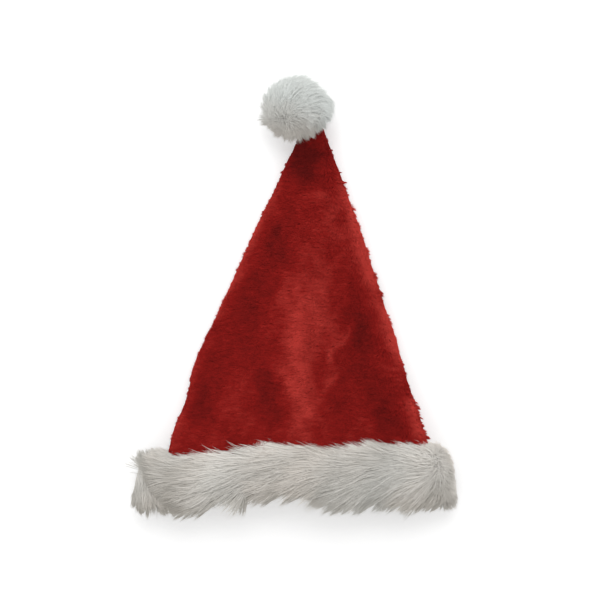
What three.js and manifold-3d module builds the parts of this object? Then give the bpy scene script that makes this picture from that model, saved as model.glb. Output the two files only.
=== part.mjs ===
// A plush party hat lying on its back: a red crown of two panels sewn along both sides, a band of
// long-pile fur folded round its mouth, and a fur pompom sewn on its tip.
// Millimetres. +X runs across the hat, +Y from the mouth to the tip, +Z up from the floor.
import * as THREE from "three";
import { mergeVertices } from "three/addons/utils/BufferGeometryUtils.js";
import Module from "manifold-3d";

const wasm = await Module();
wasm.setup();

// The hat's main sizes
const hatLength = 384; // hem of the band to the end of the crown's tip
const crownWidth = 258; // across the crown where it comes out of the band, laid flat
const crownRise = 40; // top of the crown over the floor, at the band
const clothThickness = 3; // plush with its pile
const seamGap = 0.3; // between the two panels along their seams
const seatGap = 0.3; // round the crown where the band and the pompom hold it

// The fur band
const bandHeight = 58; // without the locks that stand past its edges
const bandThickness = 13; // both legs of the fold with the crown's edge between them
const bandSeat = 14; // how deep the crown's edge sits between the legs
const bandLock = { length: 31, width: 26, thickness: 10, spacing: 32 };

// The pompom
const pompomHead = { x: 24, y: 20, z: 18 }; // half sizes of the head under the locks
const pompomPlace = { x: -17, y: 14, z: 26 }; // its middle from the tip's middle, and over the floor
const pompomLock = { length: 18, width: 22, thickness: 11, count: 32 };

const lockRoot = 3; // how deep a lock's foot is sunk in what carries it
const lockTipShare = 0.14; // width of a lock's tip against its widest place

// The hat's outline. at is a share of hatLength from the hem, left and right are shares of crownWidth.
const outlineRows = [
  { at: 0.0, left: -0.548, right: 0.54 },
  { at: 0.113, left: -0.502, right: 0.534 },
  { at: 0.168, left: -0.483, right: 0.518 },
  { at: 0.229, left: -0.458, right: 0.489 },
  { at: 0.25, left: -0.433, right: 0.481 },
  { at: 0.276, left: -0.426, right: 0.47 },
  { at: 0.322, left: -0.409, right: 0.439 },
  { at: 0.369, left: -0.388, right: 0.416 },
  { at: 0.415, left: -0.357, right: 0.404 },
  { at: 0.477, left: -0.311, right: 0.373 },
  { at: 0.539, left: -0.273, right: 0.337 },
  { at: 0.57, left: -0.25, right: 0.333 },
  { at: 0.601, left: -0.23, right: 0.311 },
  { at: 0.662, left: -0.192, right: 0.285 },
  { at: 0.755, left: -0.13, right: 0.238 },
  { at: 0.817, left: -0.084, right: 0.204 },
  { at: 0.863, left: -0.055, right: 0.182 },
  { at: 0.91, left: -0.023, right: 0.153 },
  { at: 0.941, left: 0.004, right: 0.138 },
  { at: 0.969, left: 0.025, right: 0.12 },
  { at: 1.0, left: 0.034, right: 0.103 },
];

// The hat seen from its side. under and over are the heights of the underside and the top, and roll
// is the radius of the rolled side edges, all shares of crownRise.
const profileRows = [
  { at: 0.0, under: 0.273, over: 0.955, roll: 0.295 },
  { at: 0.113, under: 0.295, over: 1.0, roll: 0.295 },
  { at: 0.168, under: 0.25, over: 0.977, roll: 0.273 },
  { at: 0.23, under: 0.148, over: 0.909, roll: 0.227 },
  { at: 0.3, under: 0.05, over: 0.841, roll: 0.205 },
  { at: 0.37, under: 0.0, over: 0.773, roll: 0.182 },
  { at: 0.5, under: 0.0, over: 0.682, roll: 0.17 },
  { at: 0.65, under: 0.0, over: 0.568, roll: 0.159 },
  { at: 0.775, under: 0.0, over: 0.477, roll: 0.148 },
  { at: 0.855, under: 0.04, over: 0.455, roll: 0.136 },
  { at: 0.93, under: 0.22, over: 0.568, roll: 0.136 },
  { at: 1.0, under: 0.41, over: 0.727, roll: 0.136 },
];

// Soft folds of the front panel. x, wide are shares of crownWidth, at, long of hatLength and
// height of crownRise; turn is in degrees, from along the hat towards its left side.
const foldRows = [
  { x: 0.02, at: 0.4, long: 0.24, wide: 0.062, turn: -2, height: 0.12 },
  { x: 0.1, at: 0.35, long: 0.09, wide: 0.03, turn: -14, height: -0.06 },
  { x: 0.25, at: 0.38, long: 0.22, wide: 0.05, turn: 18, height: -0.12 },
  { x: 0.36, at: 0.42, long: 0.15, wide: 0.035, turn: 20, height: 0.07 },
  { x: -0.19, at: 0.44, long: 0.26, wide: 0.055, turn: -24, height: -0.1 },
  { x: -0.22, at: 0.27, long: 0.08, wide: 0.06, turn: -10, height: 0.08 },
  { x: -0.36, at: 0.25, long: 0.07, wide: 0.04, turn: -15, height: -0.07 },
  { x: 0.06, at: 0.87, long: 0.05, wide: 0.05, turn: 0, height: -0.05 },
];

// How the band's hem and top edge wave across the hat. x is a share of crownWidth, and hem and top
// are shares of bandHeight.
const waveRows = [
  { x: -0.55, hem: -0.1, top: -0.07 },
  { x: -0.36, hem: -0.08, top: -0.03 },
  { x: -0.18, hem: 0.0, top: 0.0 },
  { x: -0.06, hem: 0.1, top: 0.02 },
  { x: 0.05, hem: 0.1, top: 0.01 },
  { x: 0.2, hem: -0.02, top: -0.02 },
  { x: 0.34, hem: 0.0, top: 0.03 },
  { x: 0.55, hem: 0.08, top: 0.05 },
];

// Rows of locks on the band: up is a share of bandHeight, and lean turns the locks' foot from
// straight out (0) towards the mouth (negative) or the tip, in degrees.
const lockRows = [
  { up: 0.0, lean: -60 },
  { up: 0.24, lean: -16 },
  { up: 0.56, lean: 0 },
  { up: 0.88, lean: 26 },
];

const rollShare = 0.17; // share of a panel's steps that go into each rolled edge
const panelSteps = { across: 18, along: 18 };
const bandSteps = 2; // steps up each leg of the band

// A number from 0 to 1 that looks random and is the same for the same seed
function scatter(seed) {
  const wave = Math.sin(seed * 12.9898 + 4.1) * 43758.5453;
  return wave - Math.floor(wave);
}

// A table's column at a place along it, smooth between the rows and never past their values
function readTable(rows, place, column, at) {
  const last = rows.length - 1;
  if (at <= rows[0][place]) return rows[0][column];
  if (at >= rows[last][place]) return rows[last][column];
  const i = rows.findIndex((row) => row[place] > at) - 1;
  const slope = (k) =>
    k < 0 || k >= last
      ? 0
      : (rows[k + 1][column] - rows[k][column]) / (rows[k + 1][place] - rows[k][place]);
  const bend = (before, after) =>
    before * after > 0 ? (2 * before * after) / (before + after) : 0;
  const step = rows[i + 1][place] - rows[i][place];
  const t = (at - rows[i][place]) / step;
  const startSlope = i === 0 ? slope(0) : bend(slope(i - 1), slope(i));
  const endSlope = i === last - 1 ? slope(i) : bend(slope(i), slope(i + 1));
  const rest = 1 - t;
  return (
    (1 + 2 * t) * rest * rest * rows[i][column] +
    t * rest * rest * step * startSlope +
    t * t * (3 - 2 * t) * rows[i + 1][column] -
    t * t * rest * step * endSlope
  );
}

// The hat's cross-section at a height y over the hem, in millimetres
function sectionAt(y) {
  const at = y / hatLength;
  const across = (column) => crownWidth * readTable(outlineRows, "at", column, at);
  const height = (column) => crownRise * readTable(profileRows, "at", column, at);
  return {
    at,
    left: across("left"),
    right: across("right"),
    under: height("under"),
    over: height("over"),
    roll: height("roll"),
  };
}

// How far the folds lift the front panel at a place
function foldLift(x, at) {
  let lift = 0;
  for (const fold of foldRows) {
    const turn = THREE.MathUtils.degToRad(fold.turn);
    const dx = x - fold.x * crownWidth;
    const dy = (at - fold.at) * hatLength;
    const across = (dx * Math.cos(turn) + dy * Math.sin(turn)) / (fold.wide * crownWidth);
    const along = (dy * Math.cos(turn) - dx * Math.sin(turn)) / (fold.long * hatLength);
    lift += fold.height * crownRise * Math.exp(-across * across - along * along);
  }
  return lift;
}

// A place on the outside of a section. side is 1 on the front and -1 on the back, and step goes
// from 0 at the left seam to 1 at the right seam.
function outlinePoint(section, side, step) {
  const { left, right, under, over, roll, at } = section;
  const edge = Math.min(step, 1 - step);
  const turn = Math.min(1, edge / rollShare) * (Math.PI / 2);
  const middle = THREE.MathUtils.clamp((step - rollShare) / (1 - 2 * rollShare), 0, 1);
  const inset = roll * (1 - Math.cos(turn));
  const flat = left + roll + middle * (right - left - 2 * roll);
  const x = edge >= rollShare ? flat : step < 0.5 ? left + inset : right - inset;
  let z = under + roll + side * roll * Math.sin(turn);
  if (side > 0) {
    const inside = Math.min(x - left, right - x) / ((right - left) / 2);
    z += (over - under - 2 * roll) * Math.sin((inside * Math.PI) / 2);
    z += foldLift(x, at) * Math.sin((inside * Math.PI) / 2);
  }
  return new THREE.Vector2(x, z);
}

// The direction that a section's outside faces
function outlineNormal(section, side, step) {
  if (step <= 0) return new THREE.Vector2(-1, 0);
  if (step >= 1) return new THREE.Vector2(1, 0);
  const reach = 0.01;
  const before = outlinePoint(section, side, Math.max(0, step - reach));
  const after = outlinePoint(section, side, Math.min(1, step + reach));
  const run = after.sub(before).normalize();
  return new THREE.Vector2(-run.y * side, run.x * side);
}

// A point of the hat at a height y over the hem, offset outwards from the cloth's outside
function hatPoint(side, step, y, offset) {
  const section = sectionAt(y);
  const place = outlinePoint(section, side, step);
  const normal = outlineNormal(section, side, step);
  return new THREE.Vector3(place.x + normal.x * offset, y, place.y + normal.y * offset);
}

// Turns a closed geometry's faces to the outside
function facedOut(geometry) {
  const place = geometry.getAttribute("position");
  const index = geometry.index.array;
  const corner = (i) => new THREE.Vector3().fromBufferAttribute(place, index[i]);
  let volume = 0;
  for (let i = 0; i < index.length; i += 3)
    volume += corner(i).dot(corner(i + 1).cross(corner(i + 2)));
  if (volume > 0) return geometry;
  return geometry.setIndex(Array.from(index).reverse());
}

// A closed body through rings of points. It joins its last ring to its first, or caps both ends
// by joining each point of the end ring to the one opposite.
function loft(rings, joined) {
  const count = rings[0].length;
  const index = [];
  const spans = joined ? rings.length : rings.length - 1;
  for (let i = 0; i < spans; i++) {
    const here = i * count;
    const next = ((i + 1) % rings.length) * count;
    for (let j = 0; j < count; j++) {
      const k = (j + 1) % count;
      index.push(here + j, next + j, next + k, here + j, next + k, here + k);
    }
  }
  if (!joined) {
    const end = (rings.length - 1) * count;
    for (let j = 0; j < count / 2 - 1; j++) {
      const k = count - 1 - j;
      index.push(j, j + 1, k - 1, j, k - 1, k);
      index.push(end + j, end + k - 1, end + j + 1, end + j, end + k, end + k - 1);
    }
  }
  const geometry = new THREE.BufferGeometry().setFromPoints(rings.flat());
  return facedOut(geometry.setIndex(index));
}

// A closed geometry as a solid for joining and cutting
function solidOf(geometry) {
  const bare = geometry.clone();
  for (const name of ["normal", "uv"]) bare.deleteAttribute(name);
  const merged = mergeVertices(bare, 1e-4);
  const vertProperties = new Float32Array(merged.getAttribute("position").array);
  const triVerts = new Uint32Array(merged.index.array);
  return new wasm.Manifold(new wasm.Mesh({ numProp: 3, vertProperties, triVerts }));
}

// The geometry of a solid that was joined or cut
function geometryOf(solid) {
  const { vertProperties, triVerts } = solid.getMesh();
  const geometry = new THREE.BufferGeometry();
  geometry.setAttribute("position", new THREE.BufferAttribute(vertProperties, 3));
  return geometry.setIndex(new THREE.BufferAttribute(triVerts, 1));
}

// The biggest body of a solid, without the slivers that a cut left loose
function biggest(solid) {
  return solid.decompose().reduce((most, body) => (body.volume() > most.volume() ? body : most));
}

// The heights of the crown's rings over the hem, with one more past each end of a grown shape
function crownRows(grow) {
  const start = bandHeight - bandSeat;
  const rows = [];
  for (let i = 0; i <= panelSteps.along; i++)
    rows.push(start + (i / panelSteps.along) * (hatLength - start));
  return grow > 0 ? [start - grow, ...rows, hatLength + grow] : rows;
}

// One panel of the crown, from the band's seat to the tip, grown on all faces to make room
function panel(side, grow) {
  const rings = [];
  const steps = panelSteps.across;
  for (const y of crownRows(grow)) {
    const outside = [];
    const inside = [];
    for (let j = 0; j <= steps; j++) {
      outside.push(hatPoint(side, j / steps, y, grow));
      inside.unshift(hatPoint(side, j / steps, y, -clothThickness - grow));
    }
    const ring = [...outside, ...inside];
    const rise = side > 0 ? seamGap : 0;
    for (const point of ring) point.z += rise;
    rings.push(side > 0 ? ring : ring.reverse());
  }
  return loft(rings, false);
}

// The whole crown without its hollow, grown to make room round it
function crownEnvelope(grow) {
  const rings = [];
  const steps = panelSteps.across;
  for (const y of crownRows(grow)) {
    const over = [];
    const under = [];
    for (let j = 0; j <= steps; j++) {
      over.push(hatPoint(1, j / steps, y, grow));
      under.unshift(hatPoint(-1, j / steps, y, grow));
    }
    for (const point of over) point.z += seamGap;
    rings.push([...over, ...under]);
  }
  return loft(rings, false);
}

// Where the band's hem and top edge lie at a place across the hat
function bandEdges(x) {
  const wave = (column) => bandHeight * readTable(waveRows, "x", column, x / crownWidth);
  return { hem: wave("hem"), top: bandHeight + wave("top") };
}

// The folded band without its locks: a rounded section carried once round the mouth
function bandRing() {
  const half = bandThickness / 2;
  const middle = -clothThickness / 2;
  const rounds = [Math.PI / 4, Math.PI / 2, (3 * Math.PI) / 4];
  const columns = [];
  const around = [];
  const steps = panelSteps.across;
  for (let j = 0; j < steps; j++) around.push([1, j / steps]);
  for (let j = steps; j > 0; j--) around.push([-1, j / steps]);
  for (const [side, step] of around) {
    const { hem, top } = bandEdges(hatPoint(side, step, 0, 0).x);
    const low = hem + half;
    const high = top - half;
    const ring = [];
    const place = (offset, y) => ring.push(hatPoint(side, step, y, middle + offset));
    for (let i = 0; i <= bandSteps; i++) place(half, low + (i / bandSteps) * (high - low));
    for (const turn of rounds) place(half * Math.cos(turn), high + half * Math.sin(turn));
    for (let i = bandSteps; i >= 0; i--) place(-half, low + (i / bandSteps) * (high - low));
    for (const turn of [...rounds].reverse())
      place(half * Math.cos(turn), low - half * Math.sin(turn));
    columns.push(ring);
  }
  return loft(columns, true);
}

// A lock of fur: a flat leaf that grows out of its foot and bends over the way it is combed
function lock({ foot, normal, comb, length, width, thickness, stand }) {
  const across = new THREE.Vector3().crossVectors(normal, comb).normalize();
  const spine = [
    foot.clone().addScaledVector(normal, -lockRoot),
    foot
      .clone()
      .addScaledVector(normal, stand * length * 0.62)
      .addScaledVector(comb, (1 - stand) * length * 0.42),
    foot
      .clone()
      .addScaledVector(normal, stand * length * 0.9)
      .addScaledVector(comb, (1 - stand * 0.5) * length * 0.95),
  ];
  const share = [0.85, 1, lockTipShare];
  const rings = spine.map((point, i) => {
    const from = spine[Math.max(0, i - 1)];
    const to = spine[Math.min(spine.length - 1, i + 1)];
    const run = to.clone().sub(from).normalize();
    const up = new THREE.Vector3().crossVectors(run, across).normalize();
    const corners = [];
    for (const [a, b] of [[1, 0], [0, 1], [-1, 0], [0, -1]])
      corners.push(
        point
          .clone()
          .addScaledVector(across, (a * share[i] * width) / 2)
          .addScaledVector(up, (b * share[i] * thickness) / 2),
      );
    return corners;
  });
  return loft(rings, false);
}

// Which way the band's fur is combed, in the hat's plane: to the left along the band, towards the
// edges near them, and outwards round both ends
function combAt(x, up) {
  const { left, right } = sectionAt(0);
  const end = Math.abs((2 * x - left - right) / (right - left));
  const outwards = THREE.MathUtils.smoothstep(end, 0.8, 1);
  const sweep = THREE.MathUtils.lerp(-1, Math.sign(x), outwards);
  const spread = THREE.MathUtils.lerp(-0.75, 0.55, up);
  return new THREE.Vector3(sweep, spread, 0).normalize();
}

// Even places round the hat's outline at a height y over the hem, each a side and a step
function placesRound(y, spacing, shift) {
  const fine = 4 * panelSteps.across;
  const round = [];
  for (let j = 0; j < fine; j++) round.push([1, j / fine]);
  for (let j = fine; j > 0; j--) round.push([-1, j / fine]);
  const points = round.map(([side, step]) => hatPoint(side, step, y, 0));
  const walked = [0];
  points.forEach((point, i) => {
    walked.push(walked[i] + point.distanceTo(points[(i + 1) % points.length]));
  });
  const total = walked[round.length];
  const count = Math.round(total / spacing);
  const places = [];
  for (let k = 0; k < count; k++) {
    const way = (((k + shift(k)) / count) % 1) * total;
    places.push(round[walked.findIndex((end) => end > way) - 1]);
  }
  return places;
}

function bandLocks() {
  const made = [];
  const half = bandThickness / 2;
  lockRows.forEach(({ up, lean }, row) => {
    const turn = THREE.MathUtils.degToRad(lean);
    const shift = (k) => 0.5 * (row % 2) + 0.35 * scatter(row * 31 + k);
    placesRound(up * bandHeight, bandLock.spacing, shift).forEach(([side, step], k) => {
      const { hem, top } = bandEdges(hatPoint(side, step, 0, 0).x);
      const y = hem + half + up * (top - hem - bandThickness) + half * Math.sin(turn);
      const foot = hatPoint(side, step, y, half * Math.cos(turn) - clothThickness / 2);
      const out = outlineNormal(sectionAt(y), side, step);
      const normal = new THREE.Vector3(out.x, Math.tan(turn), out.y).normalize();
      const comb = combAt(foot.x, up);
      comb.addScaledVector(normal, -comb.dot(normal)).normalize();
      const length = bandLock.length * (0.85 + 0.3 * scatter(row * 57 + k));
      const stand = 0.32 + 0.14 * Math.abs(out.x);
      made.push(lock({ ...bandLock, foot, normal, comb, length, stand }));
    });
  });
  return made;
}

function pompomLocks(middle) {
  const made = [];
  const golden = Math.PI * (3 - Math.sqrt(5));
  for (let i = 0; i < pompomLock.count; i++) {
    const height = 1 - (2 * (i + 0.5)) / pompomLock.count;
    const ring = Math.sqrt(1 - height * height);
    const way = new THREE.Vector3(
      ring * Math.cos(golden * i),
      ring * Math.sin(golden * i),
      height,
    );
    const foot = way
      .clone()
      .multiply(new THREE.Vector3(pompomHead.x, pompomHead.y, pompomHead.z))
      .add(middle);
    const normal = way
      .clone()
      .divide(new THREE.Vector3(pompomHead.x, pompomHead.y, pompomHead.z))
      .normalize();
    const comb = new THREE.Vector3(way.x - 0.4, way.y - 0.25, -0.3 * way.z);
    comb.addScaledVector(normal, -comb.dot(normal)).normalize();
    const length = pompomLock.length * (0.9 + 0.25 * scatter(i));
    made.push(lock({ ...pompomLock, foot, normal, comb, length, stand: 0.78 }));
  }
  return made;
}

// Everything under the floor, which presses the fur flat
const floorBlock = solidOf(
  new THREE.BoxGeometry(4 * crownWidth, 4 * hatLength, crownRise).translate(0, 0, -crownRise / 2),
);

function bandGeometry() {
  const room = [1, -1].map((side) => solidOf(panel(side, seatGap)));
  const fur = wasm.Manifold.union([solidOf(bandRing()), ...bandLocks().map(solidOf)]);
  return geometryOf(biggest(fur.subtract(room[0]).subtract(room[1]).subtract(floorBlock)));
}

function pompomGeometry() {
  const tip = sectionAt(hatLength);
  const middle = new THREE.Vector3(
    (tip.left + tip.right) / 2 + pompomPlace.x,
    hatLength + pompomPlace.y,
    pompomPlace.z,
  );
  const head = new THREE.SphereGeometry(1, 12, 8)
    .scale(pompomHead.x, pompomHead.y, pompomHead.z)
    .translate(middle.x, middle.y, middle.z);
  const fur = wasm.Manifold.union([solidOf(head), ...pompomLocks(middle).map(solidOf)]);
  const room = solidOf(crownEnvelope(seatGap));
  return geometryOf(biggest(fur.subtract(room).subtract(floorBlock)));
}

function piece(name, geometry, material) {
  geometry.computeVertexNormals();
  const mesh = new THREE.Mesh(geometry, material);
  mesh.name = name;
  return mesh;
}

const redPlush = new THREE.MeshStandardMaterial({ color: 0x8a1f1c, roughness: 0.95, metalness: 0 });
const whiteFur = new THREE.MeshStandardMaterial({ color: 0xd9d7d0, roughness: 0.9, metalness: 0 });

const hat = new THREE.Group();
hat.add(piece("crown_front", panel(1, 0), redPlush));
hat.add(piece("crown_back", panel(-1, 0), redPlush));
hat.add(piece("fur_trim", bandGeometry(), whiteFur));
hat.add(piece("pompom", pompomGeometry(), whiteFur));

// The origin is on the floor under the middle of the hat's box
const box = new THREE.Box3().setFromObject(hat, true);
const centre = box.getCenter(new THREE.Vector3());
hat.position.set(-centre.x, -centre.y, -box.min.z);

export default hat;
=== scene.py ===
import math

import bpy
import numpy as np
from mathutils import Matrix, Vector
from mathutils.bvhtree import BVHTree
from mathutils.kdtree import KDTree


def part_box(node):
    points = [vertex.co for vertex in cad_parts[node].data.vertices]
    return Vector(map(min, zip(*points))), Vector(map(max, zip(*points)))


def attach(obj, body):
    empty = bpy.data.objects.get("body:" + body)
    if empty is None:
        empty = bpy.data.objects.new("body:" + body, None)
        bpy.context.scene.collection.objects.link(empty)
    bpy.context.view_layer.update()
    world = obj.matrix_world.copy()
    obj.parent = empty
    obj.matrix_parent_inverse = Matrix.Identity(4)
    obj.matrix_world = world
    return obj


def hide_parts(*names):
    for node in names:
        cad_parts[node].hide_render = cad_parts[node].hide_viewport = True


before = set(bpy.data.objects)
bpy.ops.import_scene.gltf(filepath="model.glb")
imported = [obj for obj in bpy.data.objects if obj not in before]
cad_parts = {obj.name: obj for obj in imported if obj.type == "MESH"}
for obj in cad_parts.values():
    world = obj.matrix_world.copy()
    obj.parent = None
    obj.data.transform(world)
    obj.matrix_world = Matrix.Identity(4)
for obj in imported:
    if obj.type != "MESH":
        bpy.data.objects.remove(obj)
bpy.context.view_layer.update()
mm = 0.001

# The places of the four parts in the frame
band_low, band_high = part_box("fur_trim")
pompom_low, pompom_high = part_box("pompom")
crown_low, crown_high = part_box("crown_front")

# The folded band that the fur grows on: a round-edged section carried once round the mouth
mouth_height = 24.5 * mm
mouth_middle = Vector(((crown_low.x + crown_high.x) / 2, 0, mouth_height))
mouth_half_width = (crown_high.x - crown_low.x) / 2
mouth_end_radius = 12 * mm
mouth_bulge = 4 * mm  # how far the front rises over the ends
left_flare = 21 * mm  # how much further out the hem stands than the top edge, at the left end
right_flare = 10 * mm
left_flare_power = 0.15  # how late the left end stands out on the way to the hem: 1 is evenly
right_flare_power = 0.8
band_half_thickness = 8 * mm
band_inset = 18 * mm  # how much shorter half the section is than half the band's box
band_sag = 6 * mm  # how far the front falls towards its hem and its top edge
band_unevenness = 0.8 * mm
skin_rounds = 220  # faces of the band's skin round the mouth
skin_overs = 30  # and round its section

# The lowest that strands, the skins under them and the cloth reach over the floor
floor_clearance = 0.3 * mm
skin_clearance = 1.2 * mm
pile_depth = 1.4 * mm

# The cloth of the crown, and the middle line of its front, which leans to the right
pucker_depth = 1.1 * mm
pucker_reach = 14 * mm  # how far in from the seams the puckers fade
cloth_swell = 0.9 * mm
middle_lean = 0.16
middle_offset = 12 * mm
nap_way = 197  # degrees, 180 to the left
nap_turn = 125  # how far the nap turns on its way out to the right seam
nap_turn_width = 34 * mm

# The pompom's head, and how far it stands off the middle of the pompom's box
head_radii = np.array((25, 21.5, 19)) * mm
head_offset = Vector((1.5 * mm, -0.5 * mm, 0))

# Fur lengths and widths
under_strand = 25 * mm
over_strand = 42 * mm
back_strand = 28 * mm
mouth_strand = 10 * mm
pompom_strand = 20 * mm
pile_blade = 5.5 * mm
under_width = 0.78 * mm
over_width = 0.42 * mm
blade_width = 0.95 * mm

# How long the fur is where the band turns
front_fringe = 18 * mm  # past the fold at the left end
back_fringe = 9 * mm
end_strand = 12 * mm  # on the right end's outer face
fold_reach = 11 * mm  # how far the fur before the fold reaches past it

# How many strands and blades grow on each piece, under the limit on a piece's triangles
under_strands = 37000
over_strands = 27000
back_strands = 17000
mouth_strands = 7000
pompom_strands = 22000
front_blades = 190000
back_blades = 70000
tries_per_strand = 4  # places tried for each strand that is kept

# How the strands gather: strands to a small lock, and wide tufts on the band and the pompom
small_lock = 10
band_tufts = 1300
pompom_tufts = 680

# The shares of the way round the band's section that its outer fur and the fur in the mouth grow on
outer_part = (-0.1, 0.56)
mouth_part = (-0.36, -0.08)

# The band across the hat. x is in millimetres from the hat's middle, hem and top are how far the skin
# stays inside the band's box, low, mid and high are the ways that the fur is combed near the hem,
# halfway and near the top edge, in degrees, 180 to the left and 270 towards the hem, and tone is how
# much brighter the fur is than elsewhere.
band_rows = (
    {"x": -165, "hem": 28, "top": 22, "low": 250, "mid": 194, "high": 98, "tone": -0.22},
    {"x": -150, "hem": 25, "top": 20, "low": 240, "mid": 188, "high": 98, "tone": -0.24},
    {"x": -132, "hem": 26, "top": 21, "low": 226, "mid": 187, "high": 140, "tone": -0.22},
    {"x": -105, "hem": 21, "top": 22, "low": 216, "mid": 189, "high": 170, "tone": -0.14},
    {"x": -80, "hem": 22, "top": 20, "low": 214, "mid": 190, "high": 172, "tone": 0.0},
    {"x": -56, "hem": 40, "top": 18, "low": 222, "mid": 190, "high": 170, "tone": 0.12},
    {"x": -46, "hem": 34, "top": 17, "low": 266, "mid": 202, "high": 170, "tone": 0.12},
    {"x": -36, "hem": 35, "top": 15, "low": 210, "mid": 190, "high": 166, "tone": 0.08},
    {"x": -8, "hem": 36, "top": 11, "low": 210, "mid": 190, "high": 156, "tone": 0.04},
    {"x": 8, "hem": 42, "top": 9, "low": 212, "mid": 192, "high": 170, "tone": 0.02},
    {"x": 35, "hem": 36, "top": 12, "low": 216, "mid": 200, "high": 168, "tone": 0.0},
    {"x": 60, "hem": 25, "top": 15, "low": 218, "mid": 202, "high": 154, "tone": -0.08},
    {"x": 90, "hem": 32, "top": 12, "low": 216, "mid": 200, "high": 152, "tone": -0.1},
    {"x": 112, "hem": 32, "top": 11, "low": 220, "mid": 202, "high": 166, "tone": -0.05},
    {"x": 130, "hem": 26, "top": 13, "low": 228, "mid": 206, "high": 154, "tone": 0.04},
    {"x": 148, "hem": 23, "top": 8, "low": 238, "mid": 216, "high": 170, "tone": 0.08},
    {"x": 165, "hem": 17, "top": 27, "low": 242, "mid": 220, "high": 176, "tone": 0.1},
)

# The fold at the band's left end. Past the line through its two places the fur hangs: near is its way
# at the fold and far its way wide millimetres past it. On the outer face the fur hangs from drop
# millimetres under the upper place, give or take uneven.
end_fold = {
    "x0": -152, "y0": -165, "x1": -113, "y1": -206,
    "near": 302, "far": 262, "wide": 16, "drop": 8, "uneven": 3,
}

# The ways that the fur is combed on the outer face of the band's right end, in degrees, near the hem,
# halfway and near the top edge
end_turn = {"low": 318, "mid": 330, "high": 352}

# Partings in the band's fur, as lines between two places on the hat, with a half width and a depth
band_partings = (
    {"x0": -79, "y0": -163, "x1": -114, "y1": -174, "wide": 1.6, "deep": 0.5},
    {"x0": -28, "y0": -176, "x1": -44, "y1": -206, "wide": 3.0, "deep": 0.4},
    {"x0": 6, "y0": -168, "x1": -34, "y1": -176, "wide": 1.6, "deep": 0.3},
    {"x0": 62, "y0": -172, "x1": 22, "y1": -190, "wide": 2.0, "deep": 0.3},
    {"x0": 142, "y0": -176, "x1": 133, "y1": -206, "wide": 3.0, "deep": 0.45},
    {"x0": 128, "y0": -164, "x1": 118, "y1": -190, "wide": 2.4, "deep": 0.25},
)

# How the pompom's fur is combed. x and y are shares of its half sizes from its middle, and way is in
# degrees: 0 is to the right, 90 away from the crown.
pompom_combs = (
    {"x": -0.95, "y": 0.1, "way": 74},
    {"x": -0.8, "y": 0.55, "way": 58},
    {"x": -0.95, "y": -0.35, "way": 80},
    {"x": -0.75, "y": -0.75, "way": 200},
    {"x": -0.55, "y": -0.25, "way": 44},
    {"x": -0.4, "y": -0.85, "way": 262},
    {"x": 0.0, "y": -0.8, "way": 300},
    {"x": 0.4, "y": -0.75, "way": 304},
    {"x": -0.5, "y": 0.4, "way": 42},
    {"x": -0.3, "y": 0.9, "way": 24},
    {"x": -0.1, "y": 0.1, "way": 26},
    {"x": 0.0, "y": -0.4, "way": 352},
    {"x": 0.2, "y": 0.4, "way": 12},
    {"x": 0.3, "y": 0.9, "way": 352},
    {"x": 0.65, "y": 0.6, "way": 330},
    {"x": 0.5, "y": 0.0, "way": 350},
    {"x": 0.9, "y": 0.35, "way": 306},
    {"x": 0.95, "y": -0.1, "way": 268},
    {"x": 0.7, "y": -0.5, "way": 290},
)

# The fur round the pompom's rim and under it: how far it turns from straight outwards, clockwise in
# degrees, how far it stands off and how long it is in millimetres, at places round the rim in degrees,
# where 0 is its right side and 90 the side away from the crown
pompom_rim = (
    {"place": -180, "turn": 82, "stand": 0.5, "long": 18},
    {"place": -166, "turn": 88, "stand": 0.5, "long": 20},
    {"place": -152, "turn": 30, "stand": 0.25, "long": 16},
    {"place": -130, "turn": 18, "stand": 0.1, "long": 12},
    {"place": -90, "turn": 8, "stand": 0.1, "long": 12},
    {"place": -65, "turn": -6, "stand": 0.1, "long": 11},
    {"place": -45, "turn": 10, "stand": 0.1, "long": 6},
    {"place": -10, "turn": 50, "stand": 0.1, "long": 4},
    {"place": 2, "turn": 66, "stand": 0.55, "long": 16},
    {"place": 35, "turn": 72, "stand": 0.45, "long": 20},
    {"place": 60, "turn": 80, "stand": 0.25, "long": 16},
    {"place": 95, "turn": 60, "stand": 0.4, "long": 18},
    {"place": 120, "turn": 74, "stand": 0.4, "long": 18},
    {"place": 150, "turn": 78, "stand": 0.4, "long": 15},
    {"place": 180, "turn": 82, "stand": 0.5, "long": 18},
)

# Where the pompom's fur lies in the shade of the fur that hangs over its right side
pompom_shade = {"x": 0.72, "y": -0.38, "wide": 0.22, "deep": 0.3}

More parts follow.
